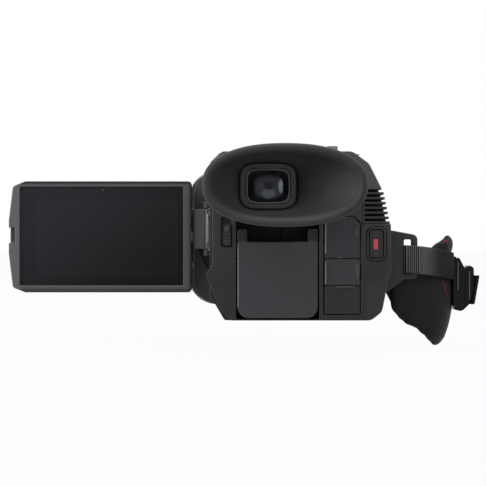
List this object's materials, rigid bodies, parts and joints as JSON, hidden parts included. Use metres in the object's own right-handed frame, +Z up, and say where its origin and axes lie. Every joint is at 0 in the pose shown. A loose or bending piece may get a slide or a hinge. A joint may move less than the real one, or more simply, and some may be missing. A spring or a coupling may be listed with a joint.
{
  "type": "camcorder",
  "caption": "Hand-held camcorder with a swing-out screen, tilting viewfinder with a wide eyecup, rear battery, lens ring, hood with barrier and padded hand strap.",
  "frame": {"origin": "mouth of the tripod socket, on the base plane, straight under the lens axis", "axes": "+Y towards the lens, -Y is the rear face the user sees, +X is the grip and strap side, -X the screen side, +Z up"},
  "size_m": [0.2505, 0.2696, 0.1045],
  "materials": {
    "housing": "moulded dark charcoal plastic, fine grain",
    "panel": "smooth dark plastic",
    "screen": "gloss black screen glass",
    "lens_glass": "coated lens glass",
    "lens_cell": "black lens cell",
    "lens_metal": "black anodised",
    "ring_rubber": "ribbed ring",
    "hood": "matt hood plastic",
    "eyecup_rubber": "soft matt rubber",
    "control": "control caps",
    "battery": "slightly lighter grey-blue plastic",
    "cover_rubber": "flexible port covers",
    "door": "card door",
    "contacts": "plated contacts",
    "sockets": "plated socket shells",
    "steel": "turned steel",
    "board": "sensor board",
    "strap_plastic": "strap fittings",
    "strap_cloth": "woven nylon and padded leatherette"
  },
  "bodies": {
    "camera_body": {"left_shell": "housing", "right_shell": "housing", "top_cover": "housing", "rear_frame": "housing", "front_cover": "housing", "base_plate": "steel", "tripod_socket": "steel", "base_feet": "cover_rubber", "lens_barrel": "lens_metal", "sensor_board": "board", "front_element": "lens_glass", "filter_ring": "lens_metal", "hood": "hood", "evf_hinge_pin": "steel", "lcd_hinge_lugs": "steel", "lcd_hinge_pin": "steel", "battery_terminal": "contacts", "port_socket_upper": "sockets", "port_socket_middle": "sockets", "port_socket_lower": "sockets", "start_stop_bezel": "panel", "vent_fins": "housing", "accessory_shoe": "steel", "strap_bracket_rear": "strap_plastic", "strap_bracket_front": "strap_plastic", "strap_pad": "strap_cloth", "strap_webbing": "strap_cloth", "strap_buckle": "strap_plastic", "strap_keeper": "strap_plastic", "strap_tail": "strap_cloth"},
    "lcd_arm": {"lcd_hinge_block": "housing", "lcd_tilt_shaft": "steel"},
    "lcd_panel": {"lcd_back_shell": "panel", "lcd_bezel": "panel", "lcd_glass": "screen"},
    "viewfinder": {"evf_housing": "housing", "eyepiece_frame": "panel", "evf_window": "screen", "evf_display": "screen", "eyecup": "eyecup_rubber"},
    "dioptre_knob": {"dioptre_lever": "control"},
    "lens_ring_body": {"lens_ring": "ring_rubber"},
    "barrier_upper_body": {"barrier_upper": "lens_cell"},
    "barrier_lower_body": {"barrier_lower": "lens_cell"},
    "barrier_lever_body": {"barrier_lever": "hood"},
    "zoom_group_body": {"zoom_group": "lens_cell"},
    "focus_group_body": {"focus_group": "lens_cell"},
    "zoom_rocker_body": {"zoom_rocker": "control"},
    "photo_button_body": {"photo_button": "control"},
    "start_stop_body": {"start_stop_button": "control"},
    "battery_body": {"battery_pack": "battery"},
    "battery_release_body": {"battery_release": "control"},
    "cover_upper_body": {"port_cover_upper": "cover_rubber"},
    "cover_middle_body": {"port_cover_middle": "cover_rubber"},
    "cover_lower_body": {"port_cover_lower": "cover_rubber"},
    "bay_button_1_body": {"bay_button_1": "control"},
    "bay_button_2_body": {"bay_button_2": "control"},
    "bay_button_3_body": {"bay_button_3": "control"},
    "mode_switch_body": {"mode_switch": "control"},
    "card_door_body": {"card_door": "door"}
  },
  "joints": [
    {"name": "lcd_swing", "type": "hinge", "parent": "camera_body", "child": "lcd_arm", "pos_m": [-0.0215, 0.026, 0.04635], "axis": [0, 0, 1], "range_deg": [0, 90]},
    {"name": "lcd_tilt", "type": "hinge", "parent": "lcd_arm", "child": "lcd_panel", "pos_m": [-0.037, 0.033, 0.0422], "axis": [-1, 0, 0], "range_deg": [-90, 180]},
    {"name": "evf_tilt", "type": "hinge", "parent": "camera_body", "child": "viewfinder", "pos_m": [0.0087, -0.06, 0.0664], "axis": [-1, 0, 0], "range_deg": [0, 45]},
    {"name": "dioptre_slide", "type": "slide", "parent": "viewfinder", "child": "dioptre_knob", "axis": [1, 0, 0], "range_m": [-0.004, 0.004]},
    {"name": "lens_ring_turn", "type": "hinge", "parent": "camera_body", "child": "lens_ring_body", "pos_m": [0, 0.0758, 0.042], "axis": [0, 1, 0], "continuous": true},
    {"name": "barrier_upper_fold", "type": "hinge", "parent": "camera_body", "child": "barrier_upper_body", "pos_m": [0, 0.1306, 0.0732], "axis": [1, 0, 0], "range_deg": [0, 90]},
    {"name": "barrier_lower_fold", "type": "hinge", "parent": "camera_body", "child": "barrier_lower_body", "pos_m": [0, 0.1306, 0.0108], "axis": [-1, 0, 0], "range_deg": [0, 90]},
    {"name": "barrier_lever_slide", "type": "slide", "parent": "camera_body", "child": "barrier_lever_body", "axis": [0, 0, 1], "range_m": [0, 0.01]},
    {"name": "zoom_group_travel", "type": "slide", "parent": "camera_body", "child": "zoom_group_body", "axis": [0, 1, 0], "range_m": [-0.01, 0.012]},
    {"name": "focus_group_travel", "type": "slide", "parent": "camera_body", "child": "focus_group_body", "axis": [0, 1, 0], "range_m": [-0.008, 0.006]},
    {"name": "zoom_rocker_tilt", "type": "hinge", "parent": "camera_body", "child": "zoom_rocker_body", "pos_m": [0.052, -0.004, 0.081], "axis": [1, 0, 0], "range_deg": [-6, 6], "stiffness_Nm_per_rad": 0.05},
    {"name": "photo_button_press", "type": "slide", "parent": "camera_body", "child": "photo_button_body", "axis": [0, 0, -1], "range_m": [0, 0.0008], "stiffness_N_per_m": 300},
    {"name": "start_stop_press", "type": "slide", "parent": "camera_body", "child": "start_stop_body", "axis": [0, 1, 0], "range_m": [0, 0.0008], "stiffness_N_per_m": 300},
    {"name": "battery_slide", "type": "slide", "parent": "camera_body", "child": "battery_body", "axis": [0, 0, 1], "range_m": [0, 0.004]},
    {"name": "battery_release_slide", "type": "slide", "parent": "camera_body", "child": "battery_release_body", "axis": [0, 0, 1], "range_m": [0, 0.003], "stiffness_N_per_m": 200},
    {"name": "cover_upper_hinge", "type": "hinge", "parent": "camera_body", "child": "cover_upper_body", "pos_m": [0.0375, -0.081, 0.04145], "axis": [0, 0, -1], "range_deg": [0, 90]},
    {"name": "cover_middle_hinge", "type": "hinge", "parent": "camera_body", "child": "cover_middle_body", "pos_m": [0.0375, -0.081, 0.0244], "axis": [0, 0, -1], "range_deg": [0, 90]},
    {"name": "cover_lower_hinge", "type": "hinge", "parent": "camera_body", "child": "cover_lower_body", "pos_m": [0.0375, -0.081, 0.0107], "axis": [0, 0, -1], "range_deg": [0, 90]},
    {"name": "bay_button_1_press", "type": "slide", "parent": "camera_body", "child": "bay_button_1_body", "axis": [1, 0, 0], "range_m": [0, 0.0006], "stiffness_N_per_m": 300},
    {"name": "bay_button_2_press", "type": "slide", "parent": "camera_body", "child": "bay_button_2_body", "axis": [1, 0, 0], "range_m": [0, 0.0006], "stiffness_N_per_m": 300},
    {"name": "bay_button_3_press", "type": "slide", "parent": "camera_body", "child": "bay_button_3_body", "axis": [1, 0, 0], "range_m": [0, 0.0006], "stiffness_N_per_m": 300},
    {"name": "mode_switch_slide", "type": "slide", "parent": "camera_body", "child": "mode_switch_body", "axis": [0, 1, 0], "range_m": [0, 0.004]},
    {"name": "card_door_hinge", "type": "hinge", "parent": "camera_body", "child": "card_door_body", "pos_m": [-0.0191, -0.042, 0.0149], "axis": [0, 1, 0], "range_deg": [-90, 0]}
  ],
  "couplings": [
    {"joint": "barrier_lower_fold", "follows": "barrier_upper_fold", "ratio": 1},
    {"joint": "barrier_lever_slide", "follows": "barrier_upper_fold", "m_per_rad": 0.006366}
  ]
}
